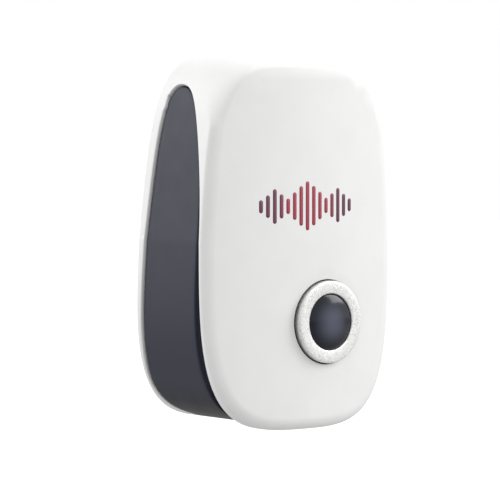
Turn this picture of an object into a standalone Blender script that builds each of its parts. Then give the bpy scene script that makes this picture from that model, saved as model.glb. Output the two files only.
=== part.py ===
"""A plug-in ultrasonic pest repeller with a press-to-light lens, as separate pieces.

Metres, +Z up, the front faces -Y and the wall is at +Y. The world origin is the centre of the
plug's wall face. The pieces are laid out in case coordinates, in which z counts up from the
case's lowest point and y counts back from the front cover's rear edge; one empty carries them.
"""

import math

import bmesh
import bpy
from mathutils import Matrix, Vector

MM = 0.001

# The case, seen from the front and from the side
CASE_WIDTH = 56.0 * MM
CASE_HEIGHT = 88.0 * MM
CASE_DEPTH = 36.0 * MM  # lens crest to wall face
WAIST_HEIGHT = 44.2 * MM  # where the case is widest
TOP_TAPER = 0.103  # share of the width lost by the top
TOP_SQUARENESS = 4.5
BOTTOM_SQUARENESS = 3.44
CROWN_HEIGHT = 5.0 * MM  # front face ahead of the front cover's rear edge
CROWN_RADIUS = 120.0 * MM
BACK_SLOPE = 0.08  # the case is thicker at the bottom
BACK_EDGE_Y = 28.0 * MM  # the back face's y at the bottom
FRONT_ROUND = 2.3 * MM  # how far back the front edge's rounding runs
FRONT_REACH = 3.0 * MM  # and how far in across the face
SIDE_LEAN = 0.34  # the crown already falls away at the sides, so the rounding drops less there
HOOD_REACH = 3.6 * MM  # how far down the front the hood's curve over the top starts
HOOD_STOP = 2.0 * MM  # and how far short of the back face it ends
HOOD_FROM = 0.80  # share of the height where the hood's curve begins to take over
BACK_ROUND = 1.5 * MM

# Shell walls and the parting between the shells
SHELL_WALL = 2.2 * MM
FACE_WALL = 2.0 * MM
FRAME_INSET = 0.6 * MM  # the side frame lies below the covers' skin
FRAME_UNDER_INSET = 1.3 * MM
GAP = 0.3 * MM  # between pieces that touch
FRAME_FRONT_Y = 0.4 * MM
FRAME_TIP_BELOW_TOP = 7.5 * MM
FRAME_SHOULDER_BELOW_TIP = 5.2 * MM
FRAME_TIP_AHEAD = 3.8 * MM  # the tip's place ahead of the shoulder
BACK_STRIP_TOP = 4.0 * MM  # the back cover's side strip, where the frame's tip starts
BACK_STRIP_BOTTOM = 2.2 * MM

# Ring and lens on the front
RING_X = 5.9 * MM
RING_Z = 25.0 * MM
RING_DIAMETER = 19.6 * MM
RING_PROUD = 1.3 * MM
LENS_ABOVE_RING = 0.7 * MM
RING_SEAT = 1.0 * MM
LENS_DIAMETER = 13.0 * MM
LENS_DOME = 1.1 * MM
LENS_WALL = 1.2 * MM
LENS_FLANGE = 1.1 * MM  # how far the flange stands out, and its thickness
BUTTON_TRAVEL = 0.8 * MM
STEM_RADIUS = 1.6 * MM

# Circuit board and what is on it
BOARD_Y = 7.3 * MM
BOARD_THICK = 1.6 * MM
BOARD_LOW_Z = 17.0 * MM
BOARD_HIGH_Z = 59.0 * MM
SWITCH_SIDE = 6.0 * MM
SWITCH_TALL = 3.5 * MM
PLUNGER_RADIUS = 1.75 * MM
LED_RADIUS = 1.5 * MM

# Plug
PLUG_BELOW_TOP = 21.5 * MM
PLUG_BASE_WIDTH = 26.0 * MM
PLUG_BASE_HEIGHT = 20.0 * MM
PLUG_BASE_CORNER = 8.0 * MM
PLUG_FLANGE = 1.0 * MM
PLUG_FLANGE_THICK = 1.6 * MM
BLADE_SPACING = 12.7 * MM
BLADE_HEIGHT = 6.35 * MM
BLADE_THICK = 1.5 * MM
BLADE_LENGTH = 18.0 * MM
BLADE_TAIL = 5.0 * MM  # how far the blade reaches in behind the plug base
BLADE_HOLE = 3.1 * MM

# Sounder
CUP_RADIUS = 10.0 * MM
CUP_TALL = 5.5 * MM
CUP_Y = 11.5 * MM
GASKET_TALL = 1.0 * MM
SLOT_WIDTH = 1.3 * MM
SLOT_SPREAD = 0.4  # spacing of the slots, as a share of the sounder's clear radius
CUP_RIM = 2.5 * MM

# Fasteners and the label
POST_RADIUS = 2.6 * MM
SCREW_RADIUS = 1.1 * MM
SCREW_HEAD_RADIUS = 2.2 * MM
SCREW_HEAD_TALL = 1.4 * MM
LABEL_WIDTH = 32.0 * MM
LABEL_HEIGHT = 22.0 * MM
LABEL_THICK = 0.2 * MM
LABEL_POCKET = 0.4 * MM  # the depth of the pocket it lies in

# Sizes that follow from those above
SHOULDER_Z = CASE_HEIGHT - FRAME_TIP_BELOW_TOP - FRAME_SHOULDER_BELOW_TIP
HOOD_PARTING_Y = BACK_EDGE_Y - BACK_SLOPE * SHOULDER_Z - BACK_STRIP_TOP
HOOD_RUN = BACK_EDGE_Y - BACK_SLOPE * CASE_HEIGHT + CROWN_HEIGHT - HOOD_STOP
RING_Y = CROWN_RADIUS - CROWN_HEIGHT - math.sqrt(CROWN_RADIUS**2 - RING_X**2)
LENS_PROUD = RING_PROUD + LENS_ABOVE_RING
WALL_FACE_Y = CASE_DEPTH + RING_Y - LENS_PROUD
PLUG_Z = CASE_HEIGHT - PLUG_BELOW_TOP
LENS_RADIUS = LENS_DIAMETER / 2
RING_RADIUS = RING_DIAMETER / 2
RING_BORE = LENS_RADIUS + GAP
BOARD_BACK_Y = BOARD_Y + BOARD_THICK
OUTLINE_POINTS = 64

COLOURS = {
    "white": ((0.80, 0.80, 0.79, 1), 0.42, 0.0),
    "slate": ((0.045, 0.048, 0.065, 1), 0.45, 0.0),
    "silver": ((0.78, 0.78, 0.77, 1), 0.38, 1.0),
    "smoked": ((0.012, 0.014, 0.022, 1), 0.08, 0.0),
    "brass": ((0.80, 0.58, 0.25, 1), 0.30, 1.0),
    "steel": ((0.62, 0.62, 0.64, 1), 0.35, 1.0),
    "board": ((0.05, 0.22, 0.09, 1), 0.45, 0.0),
    "black": ((0.02, 0.02, 0.02, 1), 0.50, 0.0),
    "blue": ((0.10, 0.30, 0.85, 1), 0.20, 0.0),
    "yellow": ((0.75, 0.60, 0.08, 1), 0.40, 0.0),
    "beige": ((0.62, 0.52, 0.36, 1), 0.55, 0.0),
    "ceramic": ((0.85, 0.84, 0.80, 1), 0.50, 0.0),
    "foam": ((0.10, 0.10, 0.11, 1), 0.95, 0.0),
    "paper": ((0.72, 0.73, 0.74, 1), 0.60, 0.0),
    "red": ((0.60, 0.04, 0.03, 1), 0.45, 0.0),
}


# ---------------------------------------------------------------- scene and objects


def clear_scene():
    for old in list(bpy.data.objects):
        bpy.data.objects.remove(old, do_unlink=True)


def collection(name):
    made = bpy.data.collections.new(name)
    bpy.context.scene.collection.children.link(made)
    return made


clear_scene()
PARTS = collection("pest_repeller")
CUTTERS = collection("cutters")
CUTTERS.hide_render = True
DATUM = bpy.data.objects.new("case_datum", None)
DATUM.location = (0, -WALL_FACE_Y, -PLUG_Z)
PARTS.objects.link(DATUM)


def material(colour):
    made = bpy.data.materials.new(colour)
    made.use_nodes = True
    shader = made.node_tree.nodes["Principled BSDF"]
    base, roughness, metallic = COLOURS[colour]
    shader.inputs["Base Color"].default_value = base
    shader.inputs["Roughness"].default_value = roughness
    shader.inputs["Metallic"].default_value = metallic
    return made


def place(obj, colour, where=(0, 0, 0), facing=None):
    """Puts an object in case coordinates; its local +Z turns to the facing direction."""
    obj.parent = DATUM
    obj.location = where
    if facing is not None:
        obj.rotation_euler = Vector(facing).to_track_quat("Z", "Y").to_euler()
    if colour is None:
        CUTTERS.objects.link(obj)
        obj.hide_render = True
        obj.display_type = "WIRE"
    else:
        PARTS.objects.link(obj)
        obj.data.materials.append(material(colour))
    return obj


def mesh_object(name, bm):
    bmesh.ops.recalc_face_normals(bm, faces=bm.faces)
    mesh = bpy.data.meshes.new(name)
    bm.to_mesh(mesh)
    bm.free()
    return bpy.data.objects.new(name, mesh)


def boolean(obj, other, operation):
    step = obj.modifiers.new(operation.lower(), "BOOLEAN")
    step.operation = operation
    step.solver = "EXACT"
    step.object = other
    return obj


def round_edges(obj, width, segments=2):
    bevel = obj.modifiers.new("rounding", "BEVEL")
    bevel.width = width
    bevel.segments = segments
    bevel.limit_method = "ANGLE"
    return obj


def block(name, size, colour, centre, rounding=0.0, facing=None):
    bm = bmesh.new()
    bmesh.ops.create_cube(bm, size=1, matrix=Matrix.Diagonal((*size, 1)))
    obj = place(mesh_object(name, bm), colour, centre, facing)
    return round_edges(obj, rounding) if rounding else obj


def turned(name, profile, colour, where, facing, steps=32, closed=False):
    """A turned solid: (radius, height) points down the outer side, about local +Z."""
    bm = bmesh.new()
    points = [bm.verts.new((radius, 0, height)) for radius, height in profile]
    pairs = list(zip(points, points[1:])) + ([(points[-1], points[0])] if closed else [])
    for pair in pairs:
        bm.edges.new(pair)
    mesh = bpy.data.meshes.new(name)
    bm.to_mesh(mesh)
    bm.free()
    obj = place(bpy.data.objects.new(name, mesh), colour, where, facing)
    screw = obj.modifiers.new("turning", "SCREW")
    screw.steps = screw.render_steps = steps
    screw.use_merge_vertices = True
    screw.merge_threshold = 1e-6
    screw.use_smooth_shade = True
    return obj


def curve_to_mesh(curve_object, name):
    """The mesh of a curve object, with its loose caps welded on."""
    bpy.context.scene.collection.objects.link(curve_object)
    bpy.context.view_layer.update()
    graph = bpy.context.evaluated_depsgraph_get()
    mesh = bpy.data.meshes.new_from_object(curve_object.evaluated_get(graph))
    bm = bmesh.new()
    bm.from_mesh(mesh)
    bmesh.ops.remove_doubles(bm, verts=bm.verts, dist=1e-7)
    bpy.data.objects.remove(curve_object, do_unlink=True)
    return mesh_object(name, bm)


def flat_outline(points, thickness):
    """A 2D curve through the points, extruded to both sides of its plane."""
    curve = bpy.data.curves.new("outline", "CURVE")
    curve.dimensions = "2D"
    curve.fill_mode = "BOTH"
    curve.extrude = thickness / 2
    spline = curve.splines.new("POLY")
    spline.points.add(len(points) - 1)
    for point, (across, up) in zip(spline.points, points):
        point.co = (across, up, 0, 1)
    spline.use_cyclic_u = True
    return bpy.data.objects.new("outline", curve)


def plate(name, points, thickness, colour, where, facing):
    """A flat plate of the given outline, centred on its own plane."""
    return place(curve_to_mesh(flat_outline(points, thickness), name), colour, where, facing)


def tube(name, points, diameter, colour):
    curve = bpy.data.curves.new(name, "CURVE")
    curve.dimensions = "3D"
    curve.bevel_depth = diameter / 2
    curve.bevel_resolution = 2
    curve.use_fill_caps = True
    spline = curve.splines.new("POLY")
    spline.points.add(len(points) - 1)
    for point, co in zip(spline.points, points):
        point.co = (*co, 1)
    return place(curve_to_mesh(bpy.data.objects.new(name, curve), name), colour)


def bezier(start, handle_a, handle_b, end, count):
    """Points along a cubic curve, without its first one."""
    found = []
    for k in range(1, count + 1):
        t = k / count
        weights = ((1 - t) ** 3, 3 * t * (1 - t) ** 2, 3 * t * t * (1 - t), t**3)
        corners = zip(weights, (start, handle_a, handle_b, end))
        found.append(sum((w * Vector(p) for w, p in corners), Vector([0.0] * len(start))))
    return found


def rounded_rectangle(width, height, radius, per_corner=5):
    points = []
    for quarter in range(4):
        middle = math.radians(45 + 90 * quarter)
        corner_x = math.copysign(width / 2 - radius, math.cos(middle))
        corner_y = math.copysign(height / 2 - radius, math.sin(middle))
        for k in range(per_corner):
            angle = math.radians(90 * quarter + 90 * k / (per_corner - 1))
            points.append((corner_x + radius * math.cos(angle), corner_y + radius * math.sin(angle)))
    return points


# ---------------------------------------------------------------- the case's outer form


def outline_point(angle):
    """A point of the case's front outline, as (x, z), from a tapered squared-off oval."""
    across, up = math.cos(angle), math.sin(angle)
    power = 2 / (TOP_SQUARENESS if up > 0 else BOTTOM_SQUARENESS)
    rise = abs(up) ** power
    taper = 1 - TOP_TAPER * rise if up > 0 else 1
    x = CASE_WIDTH / 2 * taper * math.copysign(abs(across) ** power, across)
    reach = CASE_HEIGHT - WAIST_HEIGHT if up > 0 else -WAIST_HEIGHT
    return Vector((x, WAIST_HEIGHT + reach * rise))


def outline_normal(angle):
    along = outline_point(angle + 1e-3) - outline_point(angle - 1e-3)
    return Vector((along.y, -along.x)).normalized()


def half_width(z):
    """The outline's half width at height z."""
    up = z > WAIST_HEIGHT
    t = (z - WAIST_HEIGHT) / (CASE_HEIGHT - WAIST_HEIGHT) if up else 1 - z / WAIST_HEIGHT
    power = TOP_SQUARENESS if up else BOTTOM_SQUARENESS
    taper = 1 - TOP_TAPER * t if up else 1
    return CASE_WIDTH / 2 * taper * (1 - t**power) ** (1 / power)


def crown_y(x):
    """The front face's y: it is curved across and straight up and down."""
    return -CROWN_HEIGHT + CROWN_RADIUS - math.sqrt(CROWN_RADIUS**2 - x * x)


def back_y(z):
    return BACK_EDGE_Y - BACK_SLOPE * z


def hood_share(z):
    """How much of the front edge's rounding at height z is the hood's long curve: 0 to 1."""
    t = min(max((z / CASE_HEIGHT - HOOD_FROM) / (0.98 - HOOD_FROM), 0), 1)
    return t * t * (3 - 2 * t)


def case_rings(side_inset, under_inset, front_inset, back_inset, arc_steps):
    """Rings of points from the middle of the front round to the back face."""
    angles = [2 * math.pi * k / OUTLINE_POINTS for k in range(OUTLINE_POINTS)]
    inward = max(side_inset, under_inset)
    back_radius = max(BACK_ROUND - inward, 0.4 * MM)

    def front_reach(z):
        """How far in from the outline the front edge's rounding starts."""
        reach = FRONT_REACH + (HOOD_REACH - FRONT_REACH) * hood_share(z)
        return max(reach - inward, 0.4 * MM)

    def front_drop(z, normal):
        """How far the rounding runs back, from the face to the case's side."""
        share = hood_share(z)
        plain = max(FRONT_ROUND - inward, 0.4 * MM) * (1 - SIDE_LEAN * abs(normal.x))
        return plain * (1 - share) + (HOOD_RUN - front_inset - max(back_inset, 0.0)) * share

    def ring(depth_in, y_of):
        found = []
        for angle in angles:
            point, normal = outline_point(angle), outline_normal(angle)
            inset = side_inset + (under_inset - side_inset) * max(0.0, -normal.y)
            at = point - normal * (inset + depth_in(point.y))
            found.append((at.x, y_of(at, point.y, normal), at.y))
        return found

    def face(x):
        return crown_y(x) + front_inset

    def front_arc(turn):
        return ring(
            lambda z: front_reach(z) * (1 - math.sin(turn)),
            lambda at, z, normal: face(at.x) + front_drop(z, normal) * (1 - math.cos(turn)),
        )

    def back_arc(turn):
        return ring(
            lambda z: back_radius * (1 - math.cos(turn)),
            lambda at, z, normal: back_y(at.y) - back_inset - back_radius * (1 - math.sin(turn)),
        )

    turns = [math.pi / 2 * k / arc_steps for k in range(arc_steps + 1)]
    rim = front_arc(0.0)
    middle_z = CASE_HEIGHT / 2
    rings = []
    for share in (0.3, 0.6, 0.85):
        shrunk = [(x * share, middle_z + (z - middle_z) * share) for x, _, z in rim]
        rings.append([(x, face(x), z) for x, z in shrunk])
    rings.append(rim)
    rings += [front_arc(turn) for turn in turns[1:]] + [back_arc(turn) for turn in turns]
    return rings, face


def case_body(name, side_inset=0.0, under_inset=0.0, front_inset=0.0, back_inset=0.0, arc_steps=3):
    """The case's whole form, or one set in from it: a loft round the outline."""
    rings, face = case_rings(side_inset, under_inset, front_inset, back_inset, arc_steps)
    bm = bmesh.new()
    rows = [[bm.verts.new(point) for point in ring] for ring in rings]
    middle = bm.verts.new((0, face(0), CASE_HEIGHT / 2))
    count = OUTLINE_POINTS
    for k in range(count):
        bm.faces.new((middle, rows[0][k], rows[0][(k + 1) % count]))
    for inner, outer in zip(rows, rows[1:]):
        for k in range(count):
            after = (k + 1) % count
            bm.faces.new((inner[k], outer[k], outer[after], inner[after]))
    bm.faces.new(rows[-1])
    return place(mesh_object(name, bm), None)


def frame_profile(offset):
    """The side frame's outline seen from the side, as (y, z), grown by the offset."""
    tip = (HOOD_PARTING_Y - FRAME_TIP_AHEAD, CASE_HEIGHT - FRAME_TIP_BELOW_TOP)
    straight_to = 0.48 * CASE_HEIGHT
    heel_z = 14 * MM
    shoulder = (HOOD_PARTING_Y, SHOULDER_Z)
    heel = (back_y(heel_z) - BACK_STRIP_BOTTOM, heel_z)
    toe = (heel[0] - 3.2 * MM, 1.6 * MM)
    below = -10 * MM
    points = [Vector((FRAME_FRONT_Y, below)), Vector((FRAME_FRONT_Y, straight_to))]
    points += bezier(
        points[-1],
        (FRAME_FRONT_Y + 0.15 * MM, straight_to + 0.67 * (tip[1] - straight_to)),
        (tip[0] - 8.0 * MM, tip[1] + 0.1 * MM),
        tip,
        12,
    )
    turn_in = (shoulder[0] - 0.3 * MM, tip[1] - 1.6 * MM)
    points += bezier(tip, (tip[0] + 2.2 * MM, tip[1]), turn_in, shoulder, 8)
    points += [Vector(heel)]
    points += bezier(heel, (heel[0] + 0.9 * MM, 8 * MM), (toe[0] + 3.4 * MM, 2.6 * MM), toe, 6)
    points += [Vector((toe[0], below))]
    grown = []
    for k, point in enumerate(points):
        along = points[min(k + 1, len(points) - 1)] - points[max(k - 1, 0)]
        grown.append(point + offset * Vector((-along.y, along.x)).normalized())
    return grown


def side_prism(name, profile):
    """A cutter of a side-view outline, right through the case from side to side."""
    prism = curve_to_mesh(flat_outline(profile, 2 * CASE_WIDTH), name)
    prism.data.transform(Matrix(((0, 0, 1, 0), (1, 0, 0, 0), (0, 1, 0, 0), (0, 0, 0, 1))))
    return place(prism, None)


def half_space(name, y_from, y_to):
    size = (2 * CASE_WIDTH, y_to - y_from, 2 * CASE_HEIGHT)
    return block(name, size, None, (0, (y_from + y_to) / 2, CASE_HEIGHT / 2))


# ---------------------------------------------------------------- the three shells

CAVITY_UNDER = SHELL_WALL + FRAME_UNDER_INSET - FRAME_INSET
FAR = 3 * CASE_DEPTH


def case_shell(name, colour, cavity, side_inset=0.0, under_inset=0.0):
    """The hollow case, or one set in from its skin, before it is split."""
    obj = case_body(name, side_inset, under_inset)
    CUTTERS.objects.unlink(obj)
    PARTS.objects.link(obj)
    obj.hide_render = False
    obj.display_type = "TEXTURED"
    obj.data.materials.append(material(colour))
    return boolean(obj, cavity, "DIFFERENCE")


# The covers' cavity stops at the back wall; the frame's runs out through the back.
COVER_CAVITY = case_body("cavity", SHELL_WALL, CAVITY_UNDER, FACE_WALL, FACE_WALL, arc_steps=2)
FRAME_CAVITY = case_body("frame_cavity", SHELL_WALL, CAVITY_UNDER, FACE_WALL, -6 * MM, arc_steps=2)
# The frame's room in the covers is a band only, so the back wall fits inside the frame.
FRAME_CORE = case_body(
    "frame_core", SHELL_WALL + GAP, CAVITY_UNDER + GAP, FACE_WALL, -6 * MM, arc_steps=2
)
FRAME_ROOM = side_prism("frame_room", frame_profile(GAP / 2))
boolean(FRAME_ROOM, FRAME_CORE, "DIFFERENCE")


def ring_frame():
    """The ring's centre on the front face and the face's outward direction there."""
    centre = Vector((RING_X, crown_y(RING_X), RING_Z))
    lean = math.asin(RING_X / CROWN_RADIUS)
    return centre, Vector((math.sin(lean), -math.cos(lean), 0))


RING_CENTRE, RING_OUT = ring_frame()


def post(name, x, z, y_from, y_to, radius=POST_RADIUS):
    """A round bar along Y, to be joined to a cover or cut from it."""
    profile = [(0, y_to), (radius, y_to), (radius, y_from), (0, y_from)]
    return turned(name, profile, None, (x, 0, z), (0, 1, 0), steps=16)


LOW_POST_Z = SHELL_WALL + POST_RADIUS + 7.2 * MM
HIGH_POST_Z = CASE_HEIGHT - 11.0 * MM


def post_x(z):
    edge = min(half_width(z - POST_RADIUS), half_width(z + POST_RADIUS))
    return edge - SHELL_WALL - POST_RADIUS - 0.4 * MM


COVER_POSTS = [
    (side * post_x(z), z) for z in (LOW_POST_Z, HIGH_POST_Z) for side in (-1, 1)
]
BOARD_HALF = half_width(BOARD_LOW_Z) - SHELL_WALL - 1.2 * MM
BOARD_POSTS = [
    (-(BOARD_HALF - 3.0 * MM), BOARD_LOW_Z + 3.5 * MM),
    (BOARD_HALF - 3.0 * MM, BOARD_HIGH_Z - 3.5 * MM),
]


def back_inner_y(z):
    return back_y(z) - FACE_WALL


def front_cover():
    """The white front: face, rim, and the hood over the top, with its screw posts."""
    cover = case_shell("front_cover", "white", COVER_CAVITY)
    boolean(cover, FRAME_ROOM, "DIFFERENCE")
    boolean(cover, half_space("behind_hood", HOOD_PARTING_Y - GAP / 2, FAR), "DIFFERENCE")
    for n, (x, z) in enumerate(COVER_POSTS, 1):
        foot = crown_y(x) + FACE_WALL / 2
        top = back_inner_y(z) - GAP
        boolean(cover, post(f"cover_post_{n}", x, z, foot, top), "UNION")
        hole = post(f"cover_post_hole_{n}", x, z, top - 9 * MM, top + 1 * MM, SCREW_RADIUS + GAP)
        boolean(cover, hole, "DIFFERENCE")
    for n, (x, z) in enumerate(BOARD_POSTS, 1):
        foot = crown_y(x) + FACE_WALL / 2
        top = BOARD_Y - GAP
        boolean(cover, post(f"board_post_{n}", x, z, foot, top, POST_RADIUS - 0.4 * MM), "UNION")
        hole = post(f"board_post_hole_{n}", x, z, top - 4.5 * MM, top + 1 * MM, SCREW_RADIUS + GAP)
        boolean(cover, hole, "DIFFERENCE")
    seat = [
        (0, 5 * MM),
        (RING_RADIUS + GAP, 5 * MM),
        (RING_RADIUS + GAP, -RING_SEAT),
        (RING_BORE, -RING_SEAT),
        (RING_BORE, -FACE_WALL - 3 * MM),
        (0, -FACE_WALL - 3 * MM),
    ]
    seat_cutter = turned("ring_seat", seat, None, RING_CENTRE, RING_OUT, steps=40)
    return boolean(cover, seat_cutter, "DIFFERENCE")


def side_frame():
    """The dark band up both sides and across the underside, with the sound slots."""
    band = case_shell("side_frame", "slate", FRAME_CAVITY, FRAME_INSET, FRAME_UNDER_INSET)
    boolean(band, side_prism("frame_form", frame_profile(-GAP / 2)), "INTERSECT")
    clear_radius = CUP_RADIUS - CUP_RIM
    for n in range(5):
        x = (n - 2) * SLOT_SPREAD * clear_radius
        length = 2 * math.sqrt(clear_radius**2 - x * x)
        size = (SLOT_WIDTH, length, 10 * MM)
        boolean(band, block(f"sound_slot_{n + 1}", size, None, (x, CUP_Y, 0)), "DIFFERENCE")
    return band


def label_room(grow):
    """The shallow pocket of the label, square to the sloping back."""
    z = 0.42 * CASE_HEIGHT
    out = Vector((0, 1, BACK_SLOPE)).normalized()
    at = Vector((0, back_y(z), z))
    outline = rounded_rectangle(LABEL_WIDTH + grow, LABEL_HEIGHT + grow, 1.5 * MM)
    return outline, at, out


def plug_outline(grow):
    width, height = PLUG_BASE_WIDTH + 2 * grow, PLUG_BASE_HEIGHT + 2 * grow
    return rounded_rectangle(width, height, PLUG_BASE_CORNER + grow)


def back_cover():
    """The white back: it takes the plug base, the label and the four cover screws."""
    cover = case_shell("back_cover", "white", COVER_CAVITY, 0.0, FRAME_UNDER_INSET)
    boolean(cover, FRAME_ROOM, "DIFFERENCE")
    boolean(cover, half_space("ahead_of_back", -FAR, HOOD_PARTING_Y + GAP / 2), "DIFFERENCE")
    for n, (x, z) in enumerate(COVER_POSTS, 1):
        face = back_y(z)
        through = post(f"screw_hole_{n}", x, z, face - 6 * MM, face + 3 * MM, SCREW_RADIUS + GAP)
        boolean(cover, through, "DIFFERENCE")
        sunk = face - FACE_WALL + 0.6 * MM
        well = post(f"screw_well_{n}", x, z, sunk, face + 3 * MM, SCREW_HEAD_RADIUS + GAP)
        boolean(cover, well, "DIFFERENCE")
    middle = (0, back_y(PLUG_Z), PLUG_Z)
    hole = plate("plug_hole", plug_outline(GAP), 12 * MM, None, middle, (0, 1, 0))
    boolean(cover, hole, "DIFFERENCE")
    outline, at, out = label_room(2 * GAP)
    pocket = plate("label_pocket", outline, 2 * LABEL_POCKET, None, at, out)
    return boolean(cover, pocket, "DIFFERENCE")


# ---------------------------------------------------------------- plug, label, screws


def plug_inner_y():
    """Where the plug base's flange meets the inside of the sloping back cover."""
    return back_inner_y(PLUG_Z + PLUG_BASE_HEIGHT / 2 + PLUG_FLANGE) - GAP


def plug_base():
    """The raised block round the blades; its flange is trapped behind the back cover."""
    depth = WALL_FACE_Y - plug_inner_y() + PLUG_FLANGE_THICK / 2
    at = (0, WALL_FACE_Y - depth / 2, PLUG_Z)
    base = plate("plug_base", plug_outline(0), depth, "white", at, (0, 1, 0))
    flange_at = (0, plug_inner_y() - PLUG_FLANGE_THICK / 2, PLUG_Z)
    flange = plate("plug_flange", plug_outline(PLUG_FLANGE), PLUG_FLANGE_THICK, None, flange_at, (0, 1, 0))
    boolean(base, flange, "UNION")
    for side in (-1, 1):
        slot = (BLADE_THICK + 2 * GAP, 3 * depth, BLADE_HEIGHT + 2 * GAP)
        where = (side * BLADE_SPACING / 2, WALL_FACE_Y, PLUG_Z)
        boolean(base, block(f"blade_slot_{side + 2}", slot, None, where), "DIFFERENCE")
    return base


def blade_tail_y():
    return plug_inner_y() - PLUG_FLANGE_THICK - BLADE_TAIL


def plug_blade(name, side):
    """One flat blade with a rounded tip, a hole near the tip and a soldering tail."""
    tail_y = blade_tail_y()
    tip_y = WALL_FACE_Y + BLADE_LENGTH
    half = BLADE_HEIGHT / 2
    nose = 1.6 * MM
    points = [(tail_y, -half), (tip_y - nose, -half)]
    points += bezier(points[-1], (tip_y, -half), (tip_y, -half + 0.4 * nose), (tip_y, -half + nose), 4)
    points += [(tip_y, half - nose)]
    points += bezier(points[-1], (tip_y, half - 0.4 * nose), (tip_y, half), (tip_y - nose, half), 4)
    points += [(tail_y, half)]
    blade = curve_to_mesh(flat_outline([tuple(p) for p in points], BLADE_THICK), name)
    blade.data.transform(Matrix(((0, 0, 1, 0), (1, 0, 0, 0), (0, 1, 0, 0), (0, 0, 0, 1))))
    place(blade, "brass", (side * BLADE_SPACING / 2, 0, PLUG_Z))
    hole_y = tip_y - 4 * MM
    drill = [(0, 5 * MM), (BLADE_HOLE / 2, 5 * MM), (BLADE_HOLE / 2, -5 * MM), (0, -5 * MM)]
    at = (side * BLADE_SPACING / 2, hole_y, PLUG_Z)
    return boolean(blade, turned(f"{name}_hole", drill, None, at, (1, 0, 0), steps=16), "DIFFERENCE")


def rating_label():
    """A blank label in its pocket."""
    outline, at, out = label_room(0)
    sunk = at - out * (LABEL_POCKET - LABEL_THICK)
    return plate("rating_label", outline, LABEL_THICK, "paper", sunk, out)


def screw(name, where, facing, length, colour="steel"):
    """A pan-head screw with a cross slot; its head's seat is at the given point."""
    top = SCREW_HEAD_TALL
    profile = [
        (0, top),
        (SCREW_HEAD_RADIUS * 0.55, top * 0.97),
        (SCREW_HEAD_RADIUS * 0.88, top * 0.72),
        (SCREW_HEAD_RADIUS, top * 0.35),
        (SCREW_HEAD_RADIUS, 0),
        (SCREW_RADIUS, 0),
        (SCREW_RADIUS, -length + 1.2 * MM),
        (0, -length),
    ]
    made = turned(name, profile, colour, where, facing, steps=16)
    for n, size in enumerate(((2.4, 0.5, 1.4), (0.5, 2.4, 1.4)), 1):
        cut = block(f"{name}_cross_{n}", [s * MM for s in size], None, (0, 0, 0), facing=facing)
        cut.location = Vector(where) + Vector(facing) * top
        boolean(made, cut, "DIFFERENCE")
    return made


# ---------------------------------------------------------------- ring, lens and switch


def light_ring():
    """The silver ring round the lens, with a chamfered outer edge."""
    outer, bore = RING_RADIUS, RING_BORE
    top, bottom = RING_PROUD, -RING_SEAT + GAP
    profile = [
        (bore + 0.25 * MM, top),
        (outer - 0.4 * MM, top),
        (outer - 0.1 * MM, top - 0.12 * MM),
        (outer, top - 0.4 * MM),
        (outer, bottom),
        (bore, bottom),
        (bore, top - 0.25 * MM),
    ]
    return turned("light_ring", profile, "silver", RING_CENTRE, RING_OUT, steps=48, closed=True)


STEM_END = FACE_WALL + 3.0 * MM


def lens_button():
    """The smoked lens: a domed cap on a flange, with the stem that works the switch."""
    crest, edge = LENS_PROUD, LENS_PROUD - LENS_DOME
    dome = []
    for k in range(7):
        turn = math.pi / 2 * k / 6
        dome.append((LENS_RADIUS * math.sin(turn), edge + LENS_DOME * math.cos(turn) ** 1.3))
    sag = (LENS_RADIUS + LENS_FLANGE) ** 2 / (2 * CROWN_RADIUS)
    flange_top = -FACE_WALL - GAP - sag
    flange_low = flange_top - LENS_FLANGE
    ceiling = edge - LENS_WALL
    profile = dome + [
        (LENS_RADIUS, flange_top),
        (LENS_RADIUS + LENS_FLANGE, flange_top),
        (LENS_RADIUS + LENS_FLANGE, flange_low),
        (LENS_RADIUS - LENS_WALL, flange_low),
        (LENS_RADIUS - LENS_WALL, ceiling),
        (STEM_RADIUS, ceiling),
        (STEM_RADIUS, -STEM_END),
        (0, -STEM_END),
    ]
    return turned("lens_button", profile, "smoked", RING_CENTRE, RING_OUT, steps=40)


SWITCH_AT = RING_CENTRE - RING_OUT * (STEM_END + GAP + 0.1 * MM)


def switch_plunger():
    """The switch's round plunger, its origin on its own travel axis."""
    reach = BOARD_Y - GAP - SWITCH_TALL - SWITCH_AT.y + 1.6 * MM
    profile = [
        (0, 0),
        (PLUNGER_RADIUS - 0.2 * MM, 0),
        (PLUNGER_RADIUS, -0.2 * MM),
        (PLUNGER_RADIUS, -reach),
        (0, -reach),
    ]
    return turned("switch_plunger", profile, "black", SWITCH_AT, (0, -1, 0), steps=20)


def switch_body():
    """The push switch on the board, with the well that its plunger runs in."""
    front = BOARD_Y - GAP - SWITCH_TALL
    centre = (SWITCH_AT.x, front + SWITCH_TALL / 2, SWITCH_AT.z)
    body = block("switch_body", (SWITCH_SIDE, SWITCH_TALL, SWITCH_SIDE), "black", centre, 0.25 * MM)
    deep = 1.6 * MM + BUTTON_TRAVEL + GAP
    well = [
        (0, 1 * MM),
        (PLUNGER_RADIUS + GAP, 1 * MM),
        (PLUNGER_RADIUS + GAP, -deep),
        (0, -deep),
    ]
    at = (SWITCH_AT.x, front, SWITCH_AT.z)
    return boolean(body, turned("switch_well", well, None, at, (0, -1, 0), steps=20), "DIFFERENCE")


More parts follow.
